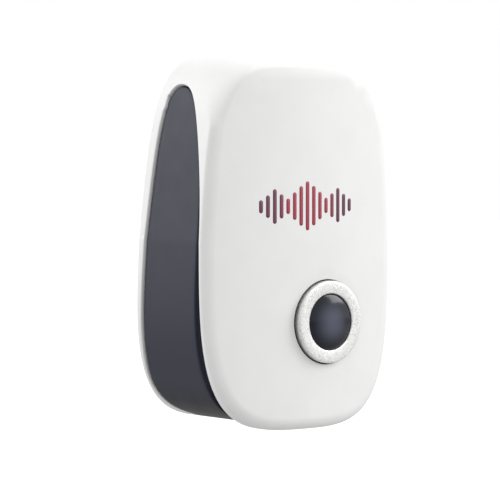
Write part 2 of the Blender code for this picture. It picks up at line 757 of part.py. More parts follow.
def led(name, side):
    """A round blue lamp beside the switch, below the lens."""
    z = RING_Z + side * (SWITCH_SIDE / 2 + LED_RADIUS + 0.7 * MM)
    tall = 5.4 * MM
    profile = [(LED_RADIUS * math.sin(a), tall - LED_RADIUS + LED_RADIUS * math.cos(a))
               for a in (math.pi / 8 * k for k in range(5))]
    rim = LED_RADIUS + 0.3 * MM
    profile += [(LED_RADIUS, 1 * MM), (rim, 1 * MM), (rim, 0), (0, 0)]
    return turned(name, profile, "blue", (SWITCH_AT.x, BOARD_Y - GAP, z), (0, -1, 0), steps=16)


# ---------------------------------------------------------------- circuit board


def circuit_board():
    """The board, with its corners cut back and a hole for each board screw."""
    width, height = 2 * BOARD_HALF, BOARD_HIGH_Z - BOARD_LOW_Z
    middle = (0, BOARD_Y + BOARD_THICK / 2, (BOARD_LOW_Z + BOARD_HIGH_Z) / 2)
    outline = rounded_rectangle(width, height, 3 * MM)
    board = plate("circuit_board", outline, BOARD_THICK, "board", middle, (0, 1, 0))
    for n, (x, z) in enumerate(BOARD_POSTS, 1):
        hole = post(f"board_hole_{n}", x, z, BOARD_Y - 1 * MM, BOARD_BACK_Y + 1 * MM, SCREW_RADIUS + GAP)
        boolean(board, hole, "DIFFERENCE")
    return board


def standing(name, x, z, radius, tall, colour, lip=0.4 * MM):
    """A round part that stands on the back of the board."""
    profile = [
        (0, tall),
        (radius - lip, tall),
        (radius, tall - lip),
        (radius, 2.2 * lip),
        (radius - lip, 1.6 * lip),
        (radius, lip),
        (radius, 0),
        (0, 0),
    ]
    return turned(name, profile, colour, (x, BOARD_BACK_Y + GAP, z), (0, 1, 0), steps=24)


def boxed(name, x, z, size, colour, rounding=0.3 * MM):
    """A square-cornered part on the back of the board; size is across, out and up."""
    centre = (x, BOARD_BACK_Y + GAP + size[1] / 2, z)
    return block(name, size, colour, centre, rounding)


def axial(name, x, z, radius, length, colour):
    """A round part that lies along the board, fatter at its two ends."""
    half = length / 2
    profile = [
        (0, half),
        (radius * 0.7, half),
        (radius, half - 0.5 * MM),
        (radius, half - 1.5 * MM),
        (radius * 0.82, half - 2.1 * MM),
        (radius * 0.82, -half + 2.1 * MM),
        (radius, -half + 1.5 * MM),
        (radius, -half + 0.5 * MM),
        (radius * 0.7, -half),
        (0, -half),
    ]
    at = (x, BOARD_BACK_Y + GAP + radius, z)
    return turned(name, profile, colour, at, (0, 0, 1), steps=16)


def choke():
    """A drum-core coil: two flanges and the winding between them."""
    radius, tall = 4.2 * MM, 7.5 * MM
    profile = [
        (0, tall),
        (radius, tall),
        (radius, tall - 1.1 * MM),
        (radius - 0.7 * MM, tall - 1.1 * MM),
        (radius - 0.7 * MM, 1.1 * MM),
        (radius, 1.1 * MM),
        (radius, 0),
        (0, 0),
    ]
    at = (0.45 * BOARD_HALF, BOARD_BACK_Y + GAP, 37 * MM)
    return turned("choke", profile, "black", at, (0, 1, 0), steps=24)


def transistor(name, x, z):
    """A small three-legged transistor, flat on one side."""
    radius, tall = 2.3 * MM, 4.6 * MM
    profile = [(0, tall), (radius, tall), (radius, 0), (0, 0)]
    at = (x, BOARD_BACK_Y + GAP, z)
    made = turned(name, profile, "black", at, (0, 1, 0), steps=20)
    cut = block(f"{name}_flat", (6 * MM, 12 * MM, 2 * MM), None, (x, BOARD_BACK_Y, z - 2.2 * MM))
    return boolean(made, cut, "DIFFERENCE")


def board_parts():
    boxed("film_capacitor", -0.38 * BOARD_HALF, 51 * MM, (13 * MM, 11 * MM, 6 * MM), "yellow", 0.5 * MM)
    standing("smoothing_capacitor", 0.45 * BOARD_HALF, 50 * MM, 4 * MM, 11 * MM, "slate")
    choke()
    boxed("bridge_rectifier", -0.3 * BOARD_HALF, 40.5 * MM, (8.5 * MM, 3.4 * MM, 6.5 * MM), "black")
    axial("fuse_resistor", -0.86 * BOARD_HALF, 44 * MM, 1.6 * MM, 9 * MM, "beige")
    axial("bleed_resistor", -0.68 * BOARD_HALF, 44 * MM, 1.2 * MM, 6.5 * MM, "beige")
    boxed("control_chip", -0.32 * BOARD_HALF, 28.5 * MM, (9.6 * MM, 3.3 * MM, 6.4 * MM), "black")
    transistor("drive_transistor_1", 0.3 * BOARD_HALF, 27 * MM)
    transistor("drive_transistor_2", 0.62 * BOARD_HALF, 27 * MM)


# ---------------------------------------------------------------- sounder and wires

FLOOR_Z = FRAME_UNDER_INSET + SHELL_WALL - FRAME_INSET + 0.6 * MM
CUP_Z = FLOOR_Z + GASKET_TALL + 2 * GAP


def sounder():
    """The piezo sounder over the slots: foam ring, cup, brass plate and ceramic disc."""
    up = (0, 0, 1)
    wall = 1.1 * MM
    gasket = [
        (CUP_RADIUS, GASKET_TALL),
        (CUP_RADIUS, 0),
        (CUP_RADIUS - 1.6 * MM, 0),
        (CUP_RADIUS - 1.6 * MM, GASKET_TALL),
    ]
    turned("piezo_gasket", gasket, "foam", (0, CUP_Y, FLOOR_Z + GAP), up, closed=True)
    ledge = 1.9 * MM
    cup = [
        (0, CUP_TALL),
        (CUP_RADIUS - 0.6 * MM, CUP_TALL),
        (CUP_RADIUS, CUP_TALL - 0.6 * MM),
        (CUP_RADIUS, 0),
        (CUP_RADIUS - wall, 0),
        (CUP_RADIUS - wall, ledge),
        (CUP_RADIUS - 2 * wall, ledge),
        (CUP_RADIUS - 2 * wall, CUP_TALL - wall),
        (0, CUP_TALL - wall),
    ]
    turned("piezo_cup", cup, "black", (0, CUP_Y, CUP_Z), up)
    plate_radius, plate_thick = CUP_RADIUS - wall - GAP, 0.4 * MM
    plate_z = CUP_Z + ledge - GAP - plate_thick
    disc = [(0, plate_thick), (plate_radius, plate_thick), (plate_radius, 0), (0, 0)]
    turned("piezo_plate", disc, "brass", (0, CUP_Y, plate_z), up)
    element_radius, element_thick = CUP_RADIUS - 2 * wall - 1.3 * MM, 0.3 * MM
    element = [(0, element_thick), (element_radius, element_thick), (element_radius, 0), (0, 0)]
    turned("piezo_ceramic", element, "ceramic", (0, CUP_Y, plate_z + plate_thick + GAP), up)


def wires():
    """Two mains wires from the blades' tails, and two thin ones to the sounder."""
    tail_y = blade_tail_y()
    start_z = PLUG_Z - BLADE_HEIGHT / 2 - GAP - 0.9 * MM
    for name, side, colour in (("live_wire", -1, "red"), ("neutral_wire", 1, "black")):
        x = side * BLADE_SPACING / 2
        start = Vector((x, tail_y + 1.2 * MM, start_z))
        end = Vector((x * 0.6, BOARD_BACK_Y + GAP, BOARD_HIGH_Z - 1.6 * MM))
        sag = Vector((0, 0, -1 * MM))
        path = [start] + bezier(start, start + sag * 3, end + Vector((0, 4 * MM, 0)), end, 10)
        tube(name, path, 1.7 * MM, colour)
    for n, side in enumerate((-1, 1), 1):
        start = Vector((side * 2.5 * MM, CUP_Y, CUP_Z + CUP_TALL + GAP))
        end = Vector((side * 2.5 * MM, BOARD_BACK_Y + GAP, BOARD_LOW_Z + 2.2 * MM))
        lift = Vector((0, 0, 3 * MM))
        path = [start] + bezier(start, start + lift, end + Vector((0, 3 * MM, 0)), end, 8)
        tube(f"piezo_wire_{n}", path, 1.0 * MM, "red" if side < 0 else "black")


def fasteners():
    for n, (x, z) in enumerate(COVER_POSTS, 1):
        seat = back_y(z) - FACE_WALL + 0.6 * MM + GAP
        screw(f"cover_screw_{n}", (x, seat, z), (0, 1, 0), 8.5 * MM)
    for n, (x, z) in enumerate(BOARD_POSTS, 1):
        screw(f"board_screw_{n}", (x, BOARD_BACK_Y + GAP, z), (0, 1, 0), 5.8 * MM)


def build():
    front_cover()
    side_frame()
    back_cover()
    plug_base()
    plug_blade("plug_blade_left", -1)
    plug_blade("plug_blade_right", 1)
    rating_label()
    fasteners()
    light_ring()
    lens_button()
    switch_plunger()
    switch_body()
    led("night_light_1", -1)
    led("night_light_2", 1)
    circuit_board()
    board_parts()
    sounder()
    wires()


build()
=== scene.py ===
"""The looks of a plug-in ultrasonic pest repeller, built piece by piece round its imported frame."""

import math

import bmesh
import bpy
import numpy as np
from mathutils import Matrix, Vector
from mathutils.geometry import delaunay_2d_cdt


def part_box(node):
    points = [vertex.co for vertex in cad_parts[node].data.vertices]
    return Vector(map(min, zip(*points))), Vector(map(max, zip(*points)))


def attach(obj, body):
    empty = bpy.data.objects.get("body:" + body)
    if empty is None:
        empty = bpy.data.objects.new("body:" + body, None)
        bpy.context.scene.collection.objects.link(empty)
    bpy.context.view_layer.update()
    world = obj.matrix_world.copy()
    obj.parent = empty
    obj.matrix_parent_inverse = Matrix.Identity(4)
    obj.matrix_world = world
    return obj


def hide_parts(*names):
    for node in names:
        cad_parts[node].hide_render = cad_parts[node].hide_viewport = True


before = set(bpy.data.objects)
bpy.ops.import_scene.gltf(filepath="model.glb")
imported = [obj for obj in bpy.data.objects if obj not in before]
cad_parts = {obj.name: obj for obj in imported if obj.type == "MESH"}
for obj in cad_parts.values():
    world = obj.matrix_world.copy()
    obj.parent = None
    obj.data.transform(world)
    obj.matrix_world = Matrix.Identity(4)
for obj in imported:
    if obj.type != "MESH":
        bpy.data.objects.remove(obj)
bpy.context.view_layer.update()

# ---------------------------------------------------------------- the circuit board
# A green glass-fibre board with its mains supply and its oscillator: moulded capacitors,
# a wound choke, dipped resistors, black-bodied chips and transistors, all soldered on.

MM = 0.001


class Paint:
    """A value that varies over a surface: a shader socket that adds and multiplies like a number."""

    def __init__(self, tree, socket):
        self.tree, self.socket = tree, socket

    def node(self, kind, settings=None, inputs=None, output=0):
        """Any shader node: its settings first, then the values or links of its sockets."""
        made = self.tree.nodes.new("ShaderNode" + kind)
        for setting, value in (settings or {}).items():
            setattr(made, setting, value)
        for key, value in (inputs or {}).items():
            if isinstance(value, Paint):
                self.tree.links.new(value.socket, made.inputs[key])
            else:
                made.inputs[key].default_value = value
        return Paint(self.tree, made.outputs[output])

    def combined(self, operation, other, turned_round=False):
        pair = (other, self) if turned_round else (self, other)
        kind = self.socket.type
        if isinstance(other, Paint) and other.socket.type != "VALUE":
            kind = other.socket.type
        if kind == "VECTOR":
            spread = [(v,) * 3 if isinstance(v, (int, float)) else v for v in pair]
            return self.node("VectorMath", {"operation": operation}, dict(enumerate(spread)))
        if kind == "RGBA":
            grey = [(v, v, v, 1) if isinstance(v, (int, float)) else v for v in pair]
            settings = {"data_type": "RGBA", "blend_type": operation}
            return self.node("Mix", settings, {0: 1.0, 6: grey[0], 7: grey[1]}, 2)
        return self.node("Math", {"operation": operation}, dict(enumerate(pair)))

    def __add__(self, other):
        return self.combined("ADD", other)

    def __radd__(self, other):
        return self.combined("ADD", other, True)

    def __sub__(self, other):
        return self.combined("SUBTRACT", other)

    def __rsub__(self, other):
        return self.combined("SUBTRACT", other, True)

    def __mul__(self, other):
        return self.combined("MULTIPLY", other)

    def __rmul__(self, other):
        return self.combined("MULTIPLY", other, True)

    def part(self, axis):
        """One coordinate of a place."""
        return self.node("SeparateXYZ", inputs={0: self}, output=axis)

    def between(self, low, high):
        """0 below low, 1 above high, and an even, eased climb from one to the other."""
        sockets = {"Value": self, "From Min": low, "From Max": high}
        return self.node("MapRange", {"interpolation_type": "SMOOTHSTEP"}, sockets)

    def blend(self, first, second):
        """The first colour where this is 0, the second where it is 1."""
        return self.node("Mix", {"data_type": "RGBA"}, {0: self, 6: first, 7: second}, 2)

    def grain(self, size, detail=2.0):
        """Soft cloudy grain, with clumps about this many metres across."""
        return self.node("TexNoise", inputs={"Vector": self, "Scale": 1 / size, "Detail": detail})

    def relief(self, depth, strength=1.0):
        """The bump that this height makes, with a full swing this many metres deep."""
        return self.node("Bump", inputs={"Height": self, "Distance": depth, "Strength": strength})


def coat(name, look):
    """A material: look takes a place on the surface and gives the shader's values."""
    made = bpy.data.materials.new(name)
    made.use_nodes = True
    tree = made.node_tree
    shader = tree.nodes["Principled BSDF"]
    place = Paint(tree, tree.nodes.new("ShaderNodeTexCoord").outputs["Object"])
    for key, value in look(place).items():
        if isinstance(value, Paint):
            tree.links.new(value.socket, shader.inputs[key])
        else:
            shader.inputs[key].default_value = value
    return made


def moulded(name, colour, roughness=0.42, tone=0.06, grain=0.25 * MM, depth=0.01 * MM, **more):
    """Injection-moulded plastic: a fine spark-eroded grain, and gloss that wanders a little."""
    dark = tuple(c * (1 - tone) for c in colour) + (1,)
    light = tuple(min(c * (1 + tone), 1) for c in colour) + (1,)

    def look(place):
        return {
            "Base Color": place.grain(9 * MM).between(0.3, 0.7).blend(dark, light),
            "Roughness": place.grain(5 * MM) * 0.1 + (roughness - 0.05),
            "Normal": place.grain(grain).relief(depth),
            "IOR": 1.5,
            **more,
        }

    return coat(name, look)


def dress(material, *nodes):
    """Gives CAD pieces that are used as they are their material."""
    for node in nodes:
        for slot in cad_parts[node].material_slots:
            slot.material = material


def board_look(place):
    """Lacquer over copper tracks, which show as lighter, slightly raised and smoother veins."""
    cloud = place.grain(2.2 * MM, 0.0)
    copper = cloud.between(0.47, 0.5) * (1 - cloud.between(0.52, 0.55))
    return {
        "Base Color": copper.blend((0.012, 0.085, 0.03, 1), (0.03, 0.17, 0.06, 1)),
        "Roughness": 0.34 - copper * 0.08,
        "Normal": copper.relief(0.04 * MM),
    }


def banded(place):
    """A dipped coat with painted bands across it, up and down the resistor."""
    up = place.part(2) * (1 / (1.5 * MM))
    stripe = up.node("Math", {"operation": "FRACT"}, {0: up}).between(0.62, 0.7)
    return {
        "Base Color": stripe.blend((0.50, 0.36, 0.17, 1), (0.22, 0.07, 0.02, 1)),
        "Roughness": place.grain(1 * MM) * 0.12 + 0.4,
        "Normal": place.grain(0.6 * MM).relief(0.03 * MM),
    }


def fired(place):
    return {
        "Base Color": place.grain(0.4 * MM).blend((0.72, 0.71, 0.66, 1), (0.84, 0.83, 0.79, 1)),
        "Roughness": place.grain(2 * MM) * 0.2 + 0.4,
        "Normal": place.grain(0.15 * MM).relief(0.01 * MM),
    }


dress(coat("solder mask", board_look), "circuit_board")
dress(coat("dipped resistor coat", banded), "fuse_resistor", "bleed_resistor")
dress(moulded("boxed film", (0.68, 0.44, 0.03), 0.24), "film_capacitor")
dress(moulded("shrunk sleeve", (0.012, 0.014, 0.045), 0.2), "smoothing_capacitor")
black_body = moulded("black moulding", (0.016, 0.016, 0.018), 0.5)
dress(black_body, "choke", "bridge_rectifier", "control_chip", "switch_body", "switch_plunger")
dress(black_body, "drive_transistor_1", "drive_transistor_2", "piezo_cup")
lamp = moulded("tinted lamp epoxy", (0.06, 0.16, 0.65), 0.1, **{"Transmission Weight": 0.6})
dress(lamp, "night_light_1", "night_light_2")

# ---------------------------------------------------------------- the sounder and the wires
# A thin brass disc with a fired ceramic one on it, in a moulded cup on a ring of foam.
# Two stranded mains wires and two thin ones, each in a soft extruded sleeve.


def rolled_brass(place):
    streak = place.node("VectorMath", {"operation": "MULTIPLY"}, {0: place, 1: (1.0, 0.06, 1.0)})
    lines = streak.grain(0.12 * MM, 3.0)
    return {
        "Base Color": lines.blend((0.62, 0.44, 0.18, 1), (0.80, 0.62, 0.30, 1)),
        "Metallic": 1.0,
        "Roughness": lines * 0.2 + 0.2,
        "Normal": lines.relief(0.006 * MM),
    }


def foam_look(place):
    cells = place.node("TexVoronoi", inputs={"Vector": place, "Scale": 1 / (0.35 * MM)})
    return {
        "Base Color": cells.between(0.1, 0.6).blend((0.006, 0.006, 0.007, 1), (0.03, 0.03, 0.032, 1)),
        "Roughness": 0.95,
        "Normal": cells.relief(0.1 * MM),
    }


brass = coat("rolled brass", rolled_brass)
dress(brass, "piezo_plate")
dress(coat("fired ceramic", fired), "piezo_ceramic")
dress(coat("closed-cell foam", foam_look), "piezo_gasket")
dress(moulded("red sleeve", (0.38, 0.012, 0.01), 0.45), "live_wire", "piezo_wire_1")
dress(moulded("black sleeve", (0.014, 0.014, 0.015), 0.45), "neutral_wire", "piezo_wire_2")

# ---------------------------------------------------------------- the front cover
# The white moulded front: a face curved across, a soft edge all round it, and a hood whose
# long curve runs over the top. Its edge stands a little over the dark belt.

CASE_WIDTH, CASE_HEIGHT, WAIST = 56 * MM, 88 * MM, 44.2 * MM
TOP_TAPER, TOP_SQUARENESS, BOTTOM_SQUARENESS = 0.103, 4.5, 3.44
CROWN_HEIGHT, CROWN_RADIUS = 5 * MM, 120 * MM
BACK_EDGE, BACK_SLOPE, BACK_ROUND = 28 * MM, 0.08, 1.5 * MM
FRONT_ROUND, FRONT_REACH, SIDE_LEAN = 2.3 * MM, 3.0 * MM, 0.34
HOOD_REACH, HOOD_RUN, HOOD_PARTING = 3.6 * MM, 23.96 * MM, 17.98 * MM
HOOD_FROM, HOOD_FULL = 0.80, 0.98  # shares of the height between which the edge turns into the hood
LEAST_ROUND = 0.4 * MM
WALL = 1.9 * MM
low_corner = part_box("front_cover")[0]
CASE = np.array([0, low_corner[1] + CROWN_HEIGHT, low_corner[2]])


def outline_table():
    """The front outline, a tapered squared-off oval, from the top's middle round by the left."""
    share = np.linspace(0, 1, 700, endpoint=False)
    pull = 2.2  # the points crowd towards the ends of each quarter, where they would lie too far apart
    crowded = share**pull / (share**pull + (1 - share) ** pull)
    turn = np.concatenate([(1 + quarter + crowded) * math.pi / 2 for quarter in range(4)])
    across, up = np.cos(turn), np.sin(turn)
    power = 2 / np.where(up > 0, TOP_SQUARENESS, BOTTOM_SQUARENESS)
    rise = np.abs(up) ** power
    taper = 1 - TOP_TAPER * np.where(up > 0, rise, 0)
    x = CASE_WIDTH / 2 * taper * np.sign(across) * np.abs(across) ** power
    z = WAIST + np.where(up > 0, CASE_HEIGHT - WAIST, -WAIST) * rise
    ring = np.stack([x, z], 1)
    steps = np.linalg.norm(np.diff(ring, axis=0, append=ring[:1]), axis=1)
    lengths = np.concatenate([[0], np.cumsum(steps)])
    ring = np.vstack([ring, ring[:1]])
    slope = np.stack([np.gradient(ring[:, 0], lengths), np.gradient(ring[:, 1], lengths)], 1)
    normal = np.stack([slope[:, 1], -slope[:, 0]], 1)
    return lengths, ring, normal / np.linalg.norm(normal, axis=1, keepdims=True)


LENGTHS, RING_POINTS, RING_NORMALS = outline_table()
ROUND = LENGTHS[-1]


def outline(along):
    """Points of the outline and its outward normals, at lengths along it."""
    along = np.mod(along, ROUND)
    point = np.stack([np.interp(along, LENGTHS, RING_POINTS[:, k]) for k in (0, 1)], 1)
    normal = np.stack([np.interp(along, LENGTHS, RING_NORMALS[:, k]) for k in (0, 1)], 1)
    return point, normal


def along_at(z):
    """How far along the outline its left side reaches this height."""
    half = len(LENGTHS) // 2
    return np.interp(z, RING_POINTS[half::-1, 1], LENGTHS[half::-1])


def crown(x):
    """How deep the curved face lies at x, from a plane CROWN_HEIGHT behind its crest."""
    return CROWN_RADIUS - CROWN_HEIGHT - np.sqrt(CROWN_RADIUS**2 - x * x)


def back_face(z):
    return BACK_EDGE - BACK_SLOPE * z


def eased(t):
    """An even, eased climb from 0 to 1."""
    t = np.clip(t, 0, 1)
    return t * t * (3 - 2 * t)


def front_edge(point, normal, sink=0.0):
    """How far the front edge's rounding reaches in across the face, and how far back it runs."""
    hood = eased((point[:, 1] / CASE_HEIGHT - HOOD_FROM) / (HOOD_FULL - HOOD_FROM))
    reach = np.maximum(FRONT_REACH + (HOOD_REACH - FRONT_REACH) * hood - sink, LEAST_ROUND)
    edge = np.maximum(FRONT_ROUND - sink, LEAST_ROUND) * (1 - SIDE_LEAN * np.abs(normal[:, 0]))
    return reach, edge * (1 - hood) + (HOOD_RUN - 2 * sink) * hood


HALVINGS = 26


def wrap(points, sink=0.0, side=0.0, under=0.0):
    """Places on the case's skin, or sunk below it, and the same places laid out flat, once for
    pieces at the front and once for pieces at the back.

    Each point is (length along the outline, depth); side and under draw the sides and the
    underside in. The search halves the room for the point's place on the rounding each time.
    """
    along, depth = points[:, 0], points[:, 1]
    point, normal = outline(along)
    point = point - normal * (side + (under - side) * np.maximum(0, -normal[:, 1]))[:, None]
    reach, drop = front_edge(point, normal, sink)
    least, most = 0 * reach, reach
    for _ in range(HALVINGS):
        rim_in = (least + most) / 2
        at = point - normal * np.reshape(sink + rim_in, (-1, 1))
        forward = depth - crown(at[:, 0]) - sink
        too_far = rim_in > reach * (1 - np.sin(np.arccos(np.clip(1 - forward / drop, 0, 1))))
        least, most = np.where(too_far, least, rim_in), np.where(too_far, rim_in, most)
    at = point - normal * np.reshape(sink + rim_in, (-1, 1))
    rest = back_face(at[:, 1]) - sink - depth
    back_radius = np.maximum(BACK_ROUND - sink, LEAST_ROUND)
    lift = np.clip(1 - rest / back_radius, 0, 1)
    back_in = back_radius * (1 - np.sqrt(1 - lift**2))
    at = at - normal * back_in[:, None]
    front_flat = point + normal * (forward - rim_in)[:, None]
    back_flat = point + normal * (rest - back_in)[:, None]
    return np.stack([at[:, 0], depth, at[:, 1]], 1) + CASE, front_flat, back_flat


def rounding_depths(along, steps):
    """Depths of the rows over the front edge's rounding, at each length along the outline."""
    point, normal = outline(along)
    reach, drop = front_edge(point, normal)
    rows = []
    for turn in np.linspace(0, math.pi / 2, steps):
        x = point[:, 0] - normal[:, 0] * reach * (1 - math.sin(turn))
        rows.append(crown(x) + drop * (1 - math.cos(turn)))
    return np.array(rows)


def curve(start, handle_a, handle_b, end, count=24):
    """The points of a Bezier curve after its start."""
    t = np.linspace(0, 1, count + 1)[1:, None]
    ends = (1 - t) ** 3 * np.array(start) + t**3 * np.array(end)
    return ends + 3 * t * (1 - t) ** 2 * np.array(handle_a) + 3 * t * t * (1 - t) * np.array(handle_b)


def even(points, step):
    """The same open line, with its points an even step apart."""
    lengths = np.concatenate([[0], np.cumsum(np.linalg.norm(np.diff(points, axis=0), axis=1))])
    marks = np.linspace(0, lengths[-1], max(int(round(lengths[-1] / step)), 2) + 1)
    return np.stack([np.interp(marks, lengths, points[:, k]) for k in (0, 1)], 1)


LINE_STEP = 0.7 * MM


def belt_edges():
    """The belt's left edges, laid out as (along, depth): up the front to the tip and over it
    to its shoulder, and from there down the back to the middle of the underside."""
    tip = (14.16 * MM, 80.5 * MM)
    straight = 42.2 * MM
    shoulder, heel, toe = (18 * MM, 75.3 * MM), (24.68 * MM, 14 * MM), (21.5 * MM, 1.6 * MM)
    front = [np.array([[0.4 * MM, straight]])]
    front.append(curve(front[0][0], (0.55 * MM, 67.9 * MM), (6.2 * MM, 80.6 * MM), tip))
    front.append(curve(tip, (16.4 * MM, 80.5 * MM), (17.7 * MM, 78.9 * MM), shoulder))
    back = [np.array([shoulder, heel])]
    back.append(curve(heel, (25.6 * MM, 8 * MM), (24.9 * MM, 2.6 * MM), toe))
    laid = []
    for line in (np.vstack(front), np.vstack(back)):
        laid.append(np.stack([along_at(line[:, 1]), line[:, 0]], 1))
    foot = np.array([[ROUND / 2, 0.4 * MM]])
    heel_foot = np.array([[ROUND / 2, toe[0]]])
    return even(np.vstack([foot, laid[0]]), LINE_STEP), even(np.vstack([laid[1], heel_foot]), LINE_STEP)


BELT_FRONT, BELT_BACK = belt_edges()


def mirrored(line):
    """A line on the left side carried over to the right side, in the opposite order."""
    return np.stack([ROUND - line[::-1, 0], line[::-1, 1]], 1)


def moved(loop, outset):
    """A closed line shifted to its right by the outset, which may vary along it."""
    step = np.roll(loop, -1, 0) - np.roll(loop, 1, 0)
    step[:, 0] = np.mod(step[:, 0] + ROUND / 2, ROUND) - ROUND / 2
    step /= np.linalg.norm(step, axis=1, keepdims=True)
    return loop + np.stack([step[:, 1], -step[:, 0]], 1) * np.reshape(outset, (-1, 1))


def crossings(points, loops):
    """Whether each point is inside an odd number of the loops."""
    inside = np.zeros(len(points), bool)
    for loop in loops:
        for (x1, y1), (x2, y2) in zip(loop, np.roll(loop, -1, 0)):
            spans = (y1 > points[:, 1]) != (y2 > points[:, 1])
            if spans.any():
                with np.errstate(divide="ignore", invalid="ignore"):
                    at = (x2 - x1) * (points[:, 1] - y1) / (y2 - y1) + x1
                inside ^= spans & (points[:, 0] < at)
    return inside


def away_from(points, line, distance):
    """Whether each point is at least this far from every point of the line."""
    far = np.full(len(points), True)
    for start in range(0, len(line), 200):
        piece = line[start : start + 200]
        gaps = np.linalg.norm(points[:, None] - piece[None], axis=2)
        far &= gaps.min(axis=1) > distance
    return far


def shell(name, rims, fill, wall):
    """A closed thin-walled piece. Its skin spans the rims and the fill points. Each rim is then
    turned in through its own list of (outset, sink), down to the inner skin or to a floor."""
    flat, outer, inner, edges, loops, starts = [], [], [], [], [], []
    for loop, _, lay, _ in rims:
        first = sum(map(len, flat))
        starts.append(first)
        count = len(loop)
        edges += [(first + k, first + (k + 1) % count) for k in range(count)]
        flat.append(lay(loop, 0)[1])
        loops.append(flat[-1])
        outer.append(lay(loop, 0)[0])
        inner.append(lay(loop, wall)[0])
    for points, lay in fill:
        flat.append(lay(points, 0)[1])
        outer.append(lay(points, 0)[0])
        inner.append(lay(points, wall)[0])
    flat = np.vstack(flat) / MM
    places = [tuple(p) for p in np.vstack(outer)] + [tuple(p) for p in np.vstack(inner)]
    skin_count = len(flat)
    all_triangles, nearest = 0, 1e-5
    found = delaunay_2d_cdt([Vector(p) for p in flat], edges, [], all_triangles, nearest)
    source = [origin[0] for origin in found[3]]
    triangles = np.array([[source[corner] for corner in face] for face in found[2]])
    kept = crossings(flat[triangles].mean(axis=1), [loop / MM for loop in loops])
    triangles = triangles[kept]
    skin_faces = [tuple(int(v) for v in face) for face in triangles]
    faces = skin_faces + [tuple(v + skin_count for v in face[::-1]) for face in skin_faces]
    for (loop, turns, lay, floored), first in zip(rims, starts):
        count = len(loop)
        ring = list(range(first, first + count))
        for outset, sink in turns:
            base = len(places)
            places += [tuple(p) for p in lay(moved(loop, outset), sink)[0]]
            lower = list(range(base, base + count))
            faces += strip(ring, lower)
            ring = lower
        under_ring = [v + skin_count for v in range(first, first + count)]
        faces += [tuple(ring), tuple(under_ring)] if floored else strip(ring, under_ring)
    return solid(name, places, faces)


def strip(upper, lower):
    """The faces between two closed rings of as many points."""
    after = [(k + 1) % len(upper) for k in range(len(upper))]
    return [(upper[k], upper[n], lower[n], lower[k]) for k, n in enumerate(after)]


def solid(name, places, faces):
    """A smooth-shaded mesh object with its faces turned outwards and its triangles paired up."""
    bm = bmesh.new()
    verts = [bm.verts.new(place) for place in places]
    for face in faces:
        bm.faces.new([verts[k] for k in face])
    bmesh.ops.recalc_face_normals(bm, faces=bm.faces)
    bmesh.ops.join_triangles(bm, faces=bm.faces, angle_face_threshold=0.5, angle_shape_threshold=0.7)
    for face in bm.faces:
        face.smooth = True
    mesh = bpy.data.meshes.new(name)
    bm.to_mesh(mesh)
    bm.free()
    made = bpy.data.objects.new(name, mesh)
    bpy.context.scene.collection.objects.link(made)
    return made


def fitted(piece, material, slot, *nodes, body="housing"):
    """Gives a piece its material and its body, and hides the CAD nodes that it stands for."""
    piece.data.materials.append(material)
    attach(piece, body)
    if nodes:
        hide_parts(*nodes)
    return piece


def lip(radius, depth, steps=4):
    """A rounded edge: its turns from the skin to straight down, and on to the given depth."""
    turns = []
    for k in range(1, steps + 1):
        turn = math.pi / 2 * k / steps
        turns.append((radius * math.sin(turn), radius * (1 - math.cos(turn))))
    return turns + [(radius, depth)]


COLUMN_COUNT = 360
COLUMNS = np.arange(COLUMN_COUNT) * ROUND / COLUMN_COUNT


def rows_of(depths):
    """One point for each column and row; depths is an array of rows by columns."""
    return np.stack([np.tile(COLUMNS, len(depths)), np.ravel(depths)], 1)


def on_front(points, sink):
    """Places on the skin's front part, and laid out flat outwards from the face."""
    places, front_flat, _ = wrap(points, sink)
    return places, front_flat


def on_face(points, sink):
    """Places on the curved face itself, given as (x, z)."""
    depth = crown(points[:, 0]) + sink
    return np.stack([points[:, 0], depth, points[:, 1]], 1) + CASE, points


def face_grid(rim, step, margin, holes=()):
    """An even grid inside a rim, kept clear of it and of the holes in it."""
    half_count = 60
    steps = np.arange(-half_count, half_count + 1) * step
    grid = np.stack(np.meshgrid(steps, steps + CASE_HEIGHT / 2), 2).reshape(-1, 2)
    grid = grid[crossings(grid, [rim])]
    grid = grid[away_from(grid, rim, margin)]
    for hole in holes:
        grid = grid[~crossings(grid, [hole])]
        grid = grid[away_from(grid, hole, margin)]
    return grid


def circle(x, z, radius, count):
    """A closed line round a circle, clockwise."""
    turn = -2 * math.pi * np.arange(count) / count
    return np.stack([x + radius * np.cos(turn), z + radius * np.sin(turn)], 1)


RING_X, RING_Z, RING_RADIUS = 5.9 * MM, 25 * MM, 9.8 * MM
GAP, PARTING_GAP, COVER_LIP = 0.15 * MM, 0.06 * MM, 0.22 * MM
FLAT_STEP = 2.5 * MM
INNER_SHARE = 0.9  # how much of the wall a turned-in edge takes


